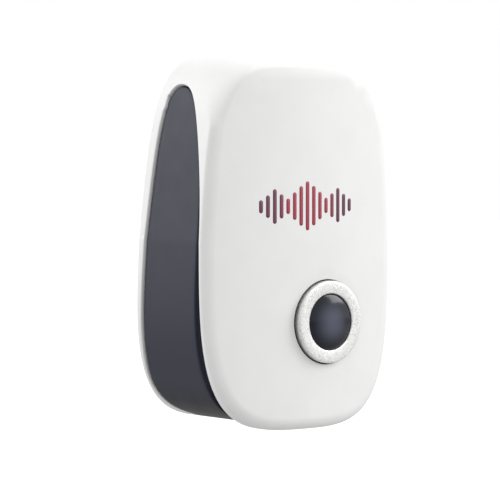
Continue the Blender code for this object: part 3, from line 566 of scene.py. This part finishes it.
def front_cover():
    edge = BELT_FRONT[BELT_FRONT[:, 1] < HOOD_PARTING - 0.4 * MM]
    over_left = even(np.array([[edge[-1, 0], HOOD_PARTING], [0.0, HOOD_PARTING]]), LINE_STEP)
    half = np.vstack([edge, over_left[:-1]])
    loop = np.vstack([half, [[0, HOOD_PARTING]], mirrored(half[1:])])
    inwards = np.where(loop[:, 1] > HOOD_PARTING - 0.01 * MM, PARTING_GAP, GAP + COVER_LIP)
    between_them = 0.2 * MM
    inwards = np.where(np.abs(inwards - np.roll(inwards, 1)) > 0, between_them, inwards)
    rim = moved(loop, -inwards)
    seat = circle(RING_X, RING_Z, RING_RADIUS + GAP + 0.2 * MM, 120)
    depths = rounding_depths(COLUMNS, 14)
    past_rounding = np.linspace(0.8, 24, 24)[:, None] * MM
    rows = np.vstack([depths, depths[-1] + past_rounding])
    points = rows_of(rows)
    points = points[points[:, 1] < HOOD_PARTING - 0.5 * MM]
    belt = np.vstack([BELT_FRONT, BELT_BACK])
    belt = np.vstack([belt, mirrored(belt)])
    points = points[~crossings(points, [belt])]
    points = points[away_from(points, rim, 0.25 * MM)]
    face_rim = on_front(rows_of(depths[:1]), 0)[1]
    grid = face_grid(face_rim, FLAT_STEP, 1.6 * MM, [seat])
    turned_in = lip(COVER_LIP, WALL * INNER_SHARE)
    return shell(
        "front_cover_skin",
        [(rim, turned_in, on_front, False), (seat, lip(0.2 * MM, 1.2 * MM, 3), on_face, False)],
        [(points, on_front), (grid, on_face)],
        WALL,
    )


WHITE = (0.76, 0.76, 0.755)
white = moulded("white satin moulding", WHITE, 0.4, tone=0.012, grain=0.35 * MM, depth=0.006 * MM)
fitted(front_cover(), white, "white_shell", "front_cover")

# ---------------------------------------------------------------- the print on the face
# A pad-printed mark: a plain row of rounded bars, tallest in the middle, in a thin film of
# crimson ink that turns plum towards the two ends.

PRINT_THICK = 0.02 * MM
PRINT_X, PRINT_Z = -0.2 * MM, 52.3 * MM
BAR_WIDTH, BAR_END, BAR_PITCH = 1.05 * MM, 0.5 * MM, 1.88 * MM
BAR_HEIGHTS = (3.0, 5.2, 8.0, 5.6, 3.6, 6.4, 9.2, 11.4, 9.2, 6.4, 3.6, 5.6, 8.0, 5.2, 3.0)


def rounded_box(width, height, radius, x=0.0, z=0.0, per_corner=6):
    """A closed line round a rounded rectangle, anticlockwise."""
    points = []
    for quarter in range(4):
        corner = math.radians(45 + 90 * quarter)
        across = math.copysign(width / 2 - radius, math.cos(corner))
        up = math.copysign(height / 2 - radius, math.sin(corner))
        for k in range(per_corner):
            turn = math.radians(90 * (quarter + k / (per_corner - 1)))
            points.append((x + across + radius * math.cos(turn), z + up + radius * math.sin(turn)))
    return np.array(points)


def printed(points, sink):
    """The places of the ink's skin, a film's thickness proud of the face."""
    return on_face(points, sink - PRINT_THICK)


def ink_look(place):
    x = place.part(0)
    ends = x.node("Math", {"operation": "ABSOLUTE"}, {0: x}).between(6.5 * MM, 8.5 * MM)
    return {
        "Base Color": ends.blend((0.33, 0.035, 0.065, 1), (0.13, 0.035, 0.07, 1)),
        "Roughness": place.grain(0.5 * MM) * 0.1 + 0.4,
        "Normal": place.grain(0.2 * MM).relief(0.004 * MM),
    }


bars = []
for n, height in enumerate(BAR_HEIGHTS):
    across = (n - len(BAR_HEIGHTS) // 2) * BAR_PITCH + PRINT_X
    bars.append((rounded_box(BAR_WIDTH, height * MM, BAR_END, across, PRINT_Z), [], printed, False))
ink = coat("pad-printed ink", ink_look)
fitted(shell("front_print", bars, [], PRINT_THICK * 0.9), ink, "white_shell")

# ---------------------------------------------------------------- the ring and the lens
# A bead-blasted silver ring pressed into its seat, and in it a domed lens of smoked plastic,
# which is the cap of a push button: it rides on a stem over the switch.

LEAN = math.asin(RING_X / CROWN_RADIUS)
RING_OUT = Vector((math.sin(LEAN), -math.cos(LEAN), 0))
RING_CENTRE = Vector((RING_X, crown(RING_X), RING_Z)) + Vector(CASE)
LENS_RADIUS, LENS_EDGE, LENS_DOME = 6.5 * MM, 0.9 * MM, 1.1 * MM
LENS_WALL, FLANGE_OUT, FLANGE_THICK = 1.2 * MM, 1.1 * MM, 1.1 * MM
STEM_RADIUS, STEM_FOOT = 1.6 * MM, -5 * MM
RING_TOP, RING_FOOT = 1.3 * MM, -0.7 * MM
RING_OUTER, RING_BORE = RING_RADIUS - 0.12 * MM, LENS_RADIUS + 0.16 * MM
RING_OUTER_ROUND, RING_BORE_ROUND = 0.45 * MM, 0.3 * MM


def turned(name, profile, centre, facing, steps=128, ring=False):
    """A turned piece from (radius, height) points down its outer side; a ring's line is closed."""
    turn = Vector(facing).to_track_quat("Z", "Y")
    angles = [2 * math.pi * k / steps for k in range(steps)]
    places, rows = [], []
    for radius, height in profile:
        if radius == 0:
            rows.append([len(places)] * steps)
            places.append(tuple(centre + turn @ Vector((0, 0, height))))
            continue
        rows.append(list(range(len(places), len(places) + steps)))
        for angle in angles:
            spot = Vector((radius * math.cos(angle), radius * math.sin(angle), height))
            places.append(tuple(centre + turn @ spot))
    faces = []
    for upper, lower in zip(rows, rows[1:] + (rows[:1] if ring else [])):
        for face in strip(upper, lower):
            faces.append(tuple(dict.fromkeys(face)))
    return solid(name, places, faces)


def corner(radius, height, size, start, steps=4):
    """A rounded corner of a turned profile, about a centre; start is its first angle in quarters."""
    found = []
    for k in range(steps + 1):
        angle = math.pi / 2 * (start - k / steps)
        found.append((radius + size * math.cos(angle), height + size * math.sin(angle)))
    return found


def silver_look(place):
    fine = place.grain(0.16 * MM, 1.0)
    spots = place.node("TexVoronoi", inputs={"Vector": place, "Scale": 1 / (0.18 * MM)}, output="Color")
    glint = spots.node("RGBToBW", inputs={0: spots})
    return {
        "Base Color": glint.between(0.2, 0.8).blend((0.64, 0.64, 0.63, 1), (0.92, 0.92, 0.91, 1)),
        "Metallic": 0.85,
        "Roughness": fine * 0.25 + 0.33,
        "Normal": (fine * 0.5 + glint * 0.5).relief(0.012 * MM),
    }


def smoked_look(place):
    """Smoked plastic with a faint glow painted into the middle of its colour; the rim stays dark."""
    axis = place.node("VectorMath", {"operation": "DISTANCE"}, {0: place, 1: RING_CENTRE}, "Value")
    # painted glow: the colour lightens from the near-black rim towards the middle of the lens
    rim = axis.between(1.0 * MM, 6.2 * MM)
    return {
        "Base Color": rim.blend((0.085, 0.095, 0.13, 1), (0.004, 0.005, 0.012, 1)),
        "Roughness": place.grain(3 * MM) * 0.04 + 0.16,
        "Normal": place.grain(1.5 * MM).relief(0.003 * MM),
        "Specular IOR Level": 0.3,
        "Coat Weight": 0.1,
        "Coat Roughness": 0.04,
    }


silver = coat("bead-blasted silver", silver_look)
inner_turn = RING_BORE + RING_BORE_ROUND, RING_TOP - RING_BORE_ROUND
outer_turn = RING_OUTER - RING_OUTER_ROUND, RING_TOP - RING_OUTER_ROUND
ring_line = corner(*inner_turn, RING_BORE_ROUND, 2)
ring_line += corner(*outer_turn, RING_OUTER_ROUND, 1, 6)
ring_line += [(RING_OUTER, RING_FOOT), (RING_BORE, RING_FOOT)]
ring_piece = turned("light_ring_turned", ring_line, RING_CENTRE, RING_OUT, 160, ring=True)
fitted(ring_piece, silver, "silver_ring", "light_ring")

DOME_STEPS, DOME_FULLNESS = 24, 1.3
dome = [(0, LENS_EDGE + LENS_DOME)]
for k in range(1, DOME_STEPS + 1):
    turn = math.pi / 2 * k / DOME_STEPS
    height = LENS_EDGE + LENS_DOME * math.cos(turn) ** DOME_FULLNESS
    dome.append((LENS_RADIUS * math.sin(turn), height))
flange, inside = LENS_RADIUS + FLANGE_OUT, LENS_RADIUS - LENS_WALL
face_drop = flange**2 / (2 * CROWN_RADIUS)
flange_top = -2.3 * MM - face_drop
ceiling = LENS_EDGE - LENS_WALL
skirt = [(LENS_RADIUS, flange_top), (flange, flange_top)]
skirt += [(flange, flange_top - FLANGE_THICK), (inside, flange_top - FLANGE_THICK)]
skirt += [(inside, ceiling), (STEM_RADIUS, ceiling)]
skirt += [(STEM_RADIUS, STEM_FOOT), (0, STEM_FOOT)]
lens = turned("lens_cap", dome + skirt, RING_CENTRE, RING_OUT)
smoked = coat("smoked lens plastic", smoked_look)
fitted(lens, smoked, "smoked_lens", "lens_button", body="lens")

# ---------------------------------------------------------------- the dark belt
# One slate-coloured moulding that runs up both sides to a rounded tip and across the
# underside, a little below the covers' skin. Its front edge drops to a sunken ledge that
# runs on under the front cover, and the dark gap between the two widens lower down.

BELT_SIDE, BELT_UNDER = 0.6 * MM, 1.3 * MM
BELT_LIP, BELT_GAP, BELT_LEDGE, BELT_WALL = 0.35 * MM, 3.3 * MM, 2.2 * MM, 2.45 * MM
WIDENS_FROM, WIDENS_TO = 66 * MM, 12 * MM  # the heights between which the gap widens
SLOT_SPACING, SLOT_WIDTH, SLOT_DEPTH, SLOTTED_RADIUS = 3 * MM, 1.3 * MM, 11.5 * MM, 7.5 * MM


def on_belt(points, sink):
    """Places on the belt, which is laid out flat as (along, depth)."""
    return wrap(points, sink, BELT_SIDE, BELT_UNDER)[0], points


def slot(x, depth, width, length):
    """A closed line round one straight slot in the underside, clockwise, as (along, depth)."""
    points = rounded_box(width, length, width / 2 * 0.98, ROUND / 2 + x, depth)
    return points[::-1]


def dark_belt():
    left = np.vstack([BELT_FRONT, BELT_BACK[1:]])
    loop = np.vstack([left, mirrored(left)[1:-1]])[::-1]
    high, low = along_at(WIDENS_FROM), along_at(WIDENS_TO)
    from_foot = np.abs(loop[:, 0] - ROUND / 2)
    low_down = eased((ROUND / 2 - high - from_foot) / (low - high))
    at_front = eased((14 * MM - loop[:, 1]) / (4 * MM))
    thin = 0.05 * MM
    width = BELT_LIP + thin + (BELT_GAP - BELT_LIP) * low_down * at_front
    under_cover = width + 0.5 * MM
    step_down = lip(BELT_LIP, BELT_LEDGE, 5)
    step_down += [(under_cover, BELT_LEDGE), (under_cover, BELT_WALL - thin)]
    rim = moved(loop, -(GAP + width))
    slots = []
    for n in range(-2, 3):
        x = n * SLOT_SPACING
        slots.append(slot(x, SLOT_DEPTH, SLOT_WIDTH, 2 * math.sqrt(SLOTTED_RADIUS**2 - x**2)))
    depths = np.arange(1, 27)[:, None] * MM * np.ones(COLUMN_COUNT)
    points = rows_of(depths)
    points = points[crossings(points, [rim])]
    points = points[away_from(points, rim, 0.6 * MM)]
    for hole in slots:
        points = points[~crossings(points, [hole])]
        points = points[away_from(points, hole, 0.45 * MM)]
    rims = [(rim, step_down, on_belt, False)]
    rims += [(hole, lip(0.15 * MM, 1.5 * MM, 2), on_belt, False) for hole in slots]
    return shell("side_belt", rims, [(points, on_belt)], BELT_WALL)


def slate_look(place):
    """Slate satin moulding, with shade painted into its colour low down, where it turns under."""
    # painted shade: the colour goes near-black towards the underside
    high = place.part(2).between(CASE[2] + 2.5 * MM, CASE[2] + 12 * MM)
    return {
        "Base Color": high.blend((0.002, 0.002, 0.004, 1), (0.033, 0.034, 0.052, 1)),
        "Roughness": place.grain(5 * MM) * 0.1 + 0.38,
        "Normal": place.grain(0.3 * MM).relief(0.008 * MM),
        "Specular IOR Level": 0.2,
    }


slate = coat("slate satin moulding", slate_look)
fitted(dark_belt(), slate, "slate_belt", "side_frame")

# ---------------------------------------------------------------- the back cover
# The white moulded back: thin strips along the sides, a flat, sloping back with an opening
# for the plug base, a shallow pocket for the label, and four wells for the screws.

screw_spots = []
for n in range(1, 5):
    lowest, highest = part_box(f"cover_screw_{n}")
    screw_spots.append(((lowest[0] + highest[0]) / 2, (lowest[2] + highest[2]) / 2 - CASE[2]))
PLUG_WIDTH, PLUG_HEIGHT, PLUG_CORNER = 26 * MM, 20 * MM, 8 * MM
PLUG_UP = -CASE[2]
LABEL_WIDTH, LABEL_HEIGHT, LABEL_CORNER = 32 * MM, 22 * MM, 1.5 * MM
LABEL_UP, LABEL_ROOM, LABEL_POCKET = 0.42 * CASE_HEIGHT, 0.6 * MM, 0.4 * MM
WELL_RADIUS, WELL_SINK = 2.7 * MM, 1.3 * MM


def on_back(points, sink):
    """Places on the skin's back part, and laid out flat outwards from the flat back."""
    places, _, back_flat = wrap(points, sink, 0.0, BELT_UNDER)
    return places, back_flat


def on_back_face(points, sink):
    """Places on the flat, sloping back itself, given as (x, z)."""
    depth = back_face(points[:, 1]) - sink
    return np.stack([points[:, 0], depth, points[:, 1]], 1) + CASE, points


def back_rounding(steps):
    """Depths of the rows over the back edge's rounding, from the side to the flat back."""
    point, normal = outline(COLUMNS)
    inset = BELT_UNDER * np.maximum(0, -normal[:, 1])
    rows = []
    for turn in np.linspace(0, math.pi / 2, steps):
        z = point[:, 1] - normal[:, 1] * (inset + BACK_ROUND * (1 - math.cos(turn)))
        rows.append(back_face(z) - BACK_ROUND * (1 - math.sin(turn)))
    return np.array(rows)


def back_cover():
    parting = HOOD_PARTING + 0.04 * MM
    over_left = even(np.array([[0.0, parting], [BELT_BACK[0, 0], parting]]), LINE_STEP)
    half = np.vstack([over_left[:-1], BELT_BACK])
    loop = np.vstack([half, mirrored(half)[1:-1]])
    inwards = np.where(loop[:, 1] < parting + 0.01 * MM, PARTING_GAP, GAP + COVER_LIP)
    rim = moved(loop, -inwards)
    depths = back_rounding(7)
    sides = depths[0] - np.linspace(10, 1, 10)[:, None] * MM
    points = rows_of(np.vstack([sides, depths]))
    beyond = np.interp(np.mod(points[:, 0], ROUND), loop[:, 0], loop[:, 1])
    points = points[points[:, 1] > beyond]
    points = points[away_from(points, loop, 0.7 * MM)]
    room = 0.5 * MM
    plug_hole = rounded_box(PLUG_WIDTH + room, PLUG_HEIGHT + room, PLUG_CORNER, 0, PLUG_UP, 14)[::-1]
    wide, tall = LABEL_WIDTH + LABEL_ROOM, LABEL_HEIGHT + LABEL_ROOM
    pocket = rounded_box(wide, tall, LABEL_CORNER + 0.2 * MM, 0, LABEL_UP)[::-1]
    wells = [circle(x, z, WELL_RADIUS, 40) for x, z in screw_spots]
    face_rim = on_back(rows_of(depths[-1:]), 0)[1]
    grid = face_grid(face_rim, FLAT_STEP, 1.4 * MM, [plug_hole, pocket] + wells)
    well_in = 1.3 * MM
    well_turns = lip(0.2 * MM, WELL_SINK, 3) + [(well_in, WELL_SINK), (well_in, WALL * 0.95)]
    rims = [(rim, lip(COVER_LIP, WALL * INNER_SHARE), on_back, False)]
    rims.append((plug_hole, lip(0.25 * MM, WALL * INNER_SHARE, 3), on_back_face, False))
    rims.append((pocket, lip(0.15 * MM, LABEL_POCKET, 3), on_back_face, True))
    rims += [(well, well_turns, on_back_face, False) for well in wells]
    return shell("back_cover_skin", rims, [(points, on_back), (grid, on_back_face)], WALL)


fitted(back_cover(), white, "white_shell", "back_cover")

# ---------------------------------------------------------------- plug, label and screws
# A moulded block stands out of the back round two stamped brass blades. The label is a
# blank film in its pocket, and four zinc-plated cross-head screws close the case.


PLUG_ROUND = 0.8 * MM  # of the edges round the face that meets the wall
BLADE_APART, BLADE_SLOT = 6.35 * MM, (2.3 * MM, 7.15 * MM)


def on_wall_face(points, sink):
    """Places on the plug's flat face, which lies against the wall, given as (x, z)."""
    return np.stack([points[:, 0], 0 * points[:, 0] - sink, points[:, 1]], 1), points


plug_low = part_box("plug_base")[0][1]
wide, tall = PLUG_WIDTH - 2 * PLUG_ROUND, PLUG_HEIGHT - 2 * PLUG_ROUND
block = rounded_box(wide, tall, PLUG_CORNER - PLUG_ROUND, 0, 0, 14)
rims = [(block, lip(PLUG_ROUND, -plug_low * 0.98, 6), on_wall_face, False)]
for side in (-1, 1):
    hole = rounded_box(*BLADE_SLOT, 0.35 * MM, side * BLADE_APART, 0, 4)[::-1]
    rims.append((hole, lip(0.2 * MM, -plug_low * 0.97, 3), on_wall_face, False))
grid = face_grid(block, FLAT_STEP, 1.2 * MM, [rim[0] for rim in rims[1:]])
fitted(shell("plug_block", rims, [(grid, on_wall_face)], -plug_low), white, "white_shell", "plug_base")

BLADE_THICK, BLADE_EDGE, BLADE_NOSE = 1.5 * MM, 0.18 * MM, 1.6 * MM
BLADE_HOLE, HOLE_FROM_TIP = 1.55 * MM, 4 * MM
for name in ("left", "right"):
    node = f"plug_blade_{name}"
    lowest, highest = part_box(node)

    def on_blade(points, sink, face=highest[0]):
        return np.stack([0 * points[:, 0] + face - sink, points[:, 0], points[:, 1]], 1), points

    tail, tip, half = lowest[1], highest[1], highest[2]
    low = (tip - BLADE_NOSE, -half), (tip, -half + BLADE_NOSE)
    high = (tip, half - BLADE_NOSE), (tip - BLADE_NOSE, half)
    blunt = half - 0.4 * BLADE_NOSE
    edge = [np.array([[tail, -half], low[0]])]
    edge.append(curve(low[0], (tip, -half), (tip, -blunt), low[1], 8))
    edge.append(np.array([high[0]]))
    edge.append(curve(high[0], (tip, blunt), (tip, half), high[1], 8))
    edge.append(np.array([[tail, half]]))
    edge = even(np.vstack(edge + [edge[0][:1]]), 0.5 * MM)[:-1]
    drilled = circle(tip - HOLE_FROM_TIP, 0, BLADE_HOLE + BLADE_EDGE, 40)
    both_faces = lip(BLADE_EDGE, BLADE_THICK - BLADE_EDGE, 3)
    both_faces += [(BLADE_EDGE * 0.7, BLADE_THICK - 0.3 * BLADE_EDGE)]
    rims = [(moved(edge, -BLADE_EDGE), both_faces, on_blade, False), (drilled, both_faces, on_blade, False)]
    fitted(shell(f"blade_{name}", rims, [], BLADE_THICK), brass, "blade_brass", node)


def film_look(place):
    return {
        "Base Color": place.grain(6 * MM).blend((0.60, 0.61, 0.62, 1), (0.66, 0.67, 0.68, 1)),
        "Roughness": place.grain(1 * MM) * 0.1 + 0.3,
        "Normal": place.grain(2 * MM).relief(0.01 * MM),
    }


FILM_THICK = 0.18 * MM


def on_label(points, sink):
    """Places on the film, whose outer face lies this far below the cover's."""
    return on_back_face(points, sink + FILM_THICK)


def zinc_look(place):
    return {
        "Base Color": place.grain(0.5 * MM).blend((0.50, 0.50, 0.52, 1), (0.66, 0.66, 0.67, 1)),
        "Metallic": 1.0,
        "Roughness": place.grain(0.8 * MM) * 0.2 + 0.25,
        "Normal": place.grain(0.3 * MM).relief(0.01 * MM),
    }


label = rounded_box(LABEL_WIDTH, LABEL_HEIGHT, LABEL_CORNER, 0, LABEL_UP)
label_rims = [(label, lip(0.04 * MM, 0.15 * MM, 2), on_label, False)]
label_grid = face_grid(label, 4 * MM, 2 * MM)
film = coat("blank label film", film_look)
label_piece = shell("label_film", label_rims, [(label_grid, on_label)], FILM_THICK)
fitted(label_piece, film, "label_film", "rating_label")

zinc = coat("zinc-plated steel", zinc_look)
for n in range(1, 5):
    dress(zinc, f"cover_screw_{n}")
dress(zinc, "board_screw_1", "board_screw_2")

# ---------------------------------------------------------------- the studio
# A pale floor well below, even light all round, and softboxes: a large one high on the
# right, one from behind on the left for the rims, and a small one over the top.

FLOOR_DROP, FLOOR_RADIUS = 90 * MM, 4.0
bm = bmesh.new()
bmesh.ops.create_circle(bm, cap_ends=True, segments=96, radius=FLOOR_RADIUS)
mesh = bpy.data.meshes.new("studio_floor")
bm.to_mesh(mesh)
bm.free()
floor = bpy.data.objects.new("studio_floor", mesh)
floor.location = (0, 0, low_corner[2] - FLOOR_DROP)
bpy.context.scene.collection.objects.link(floor)


def paper_look(place):
    """Grey enough to throw little light up, and bright itself where the camera sees it."""
    seen = place.node("LightPath", output="Is Camera Ray")
    darker, paler = (0.42, 0.42, 0.42, 1), (0.44, 0.44, 0.44, 1)
    return {
        "Base Color": place.grain(0.8).between(0.3, 0.7).blend(darker, paler),
        "Roughness": 1.0,
        "Emission Color": seen.blend((0, 0, 0, 1), (1, 1, 1, 1)),
        "Emission Strength": 0.75,
    }


floor.data.materials.append(coat("white paper", paper_look))

AIM = Vector((0, CASE[1], CASE[2] + CASE_HEIGHT / 2))


def softbox(name, azimuth, elevation, distance, size, power):
    """A rectangular light at this distance from the middle of the case, turned to face it."""
    data = bpy.data.lights.new(name, "AREA")
    data.shape, data.size, data.size_y, data.energy = "RECTANGLE", size[0], size[1], power
    light = bpy.data.objects.new(name, data)
    turn, lift = math.radians(azimuth), math.radians(elevation)
    out = Vector((math.sin(turn) * math.cos(lift), -math.cos(turn) * math.cos(lift), math.sin(lift)))
    light.location = AIM + out * distance
    light.rotation_euler = out.to_track_quat("Z", "Y").to_euler()
    bpy.context.scene.collection.objects.link(light)


softbox("right_softbox", 60, 30, 0.9, (0.45, 0.6), 4.8)
softbox("rim_softbox", -142, 20, 0.9, (0.5, 0.8), 3.0)
softbox("top_softbox", -10, 72, 0.7, (0.10, 0.03), 0.4)

world = bpy.data.worlds.new("studio")
bpy.context.scene.world = world
world.use_nodes = True
background = world.node_tree.nodes["Background"]
background.inputs["Color"].default_value = (1, 1, 1, 1)
seen = Paint(world.node_tree, world.node_tree.nodes.new("ShaderNodeLightPath").outputs["Is Camera Ray"])
world.node_tree.links.new((seen * 0.02 + 0.98).socket, background.inputs["Strength"])

bpy.context.scene.view_settings.view_transform = "Standard"

SWING, LIFT, AWAY = math.radians(38.65), math.radians(2.37), 0.700
SHIFT_LEFT, SHIFT_DOWN = 10.49 * MM, 2.18 * MM
FOCAL_LENGTH, SENSOR_WIDTH = 215.2, 36
look = Vector((math.sin(SWING) * math.cos(LIFT), math.cos(SWING) * math.cos(LIFT), -math.sin(LIFT)))
right = Vector((math.cos(SWING), -math.sin(SWING), 0))
up = right.cross(look)
eye = AIM - look * AWAY
toward = AIM - right * SHIFT_LEFT - up * SHIFT_DOWN
camera_data = bpy.data.cameras.new("camera")
camera_data.lens, camera_data.sensor_width = FOCAL_LENGTH, SENSOR_WIDTH
camera = bpy.data.objects.new("camera", camera_data)
camera.location = eye
camera.rotation_euler = (toward - eye).to_track_quat("-Z", "Y").to_euler()
bpy.context.scene.collection.objects.link(camera)
bpy.context.scene.camera = camera
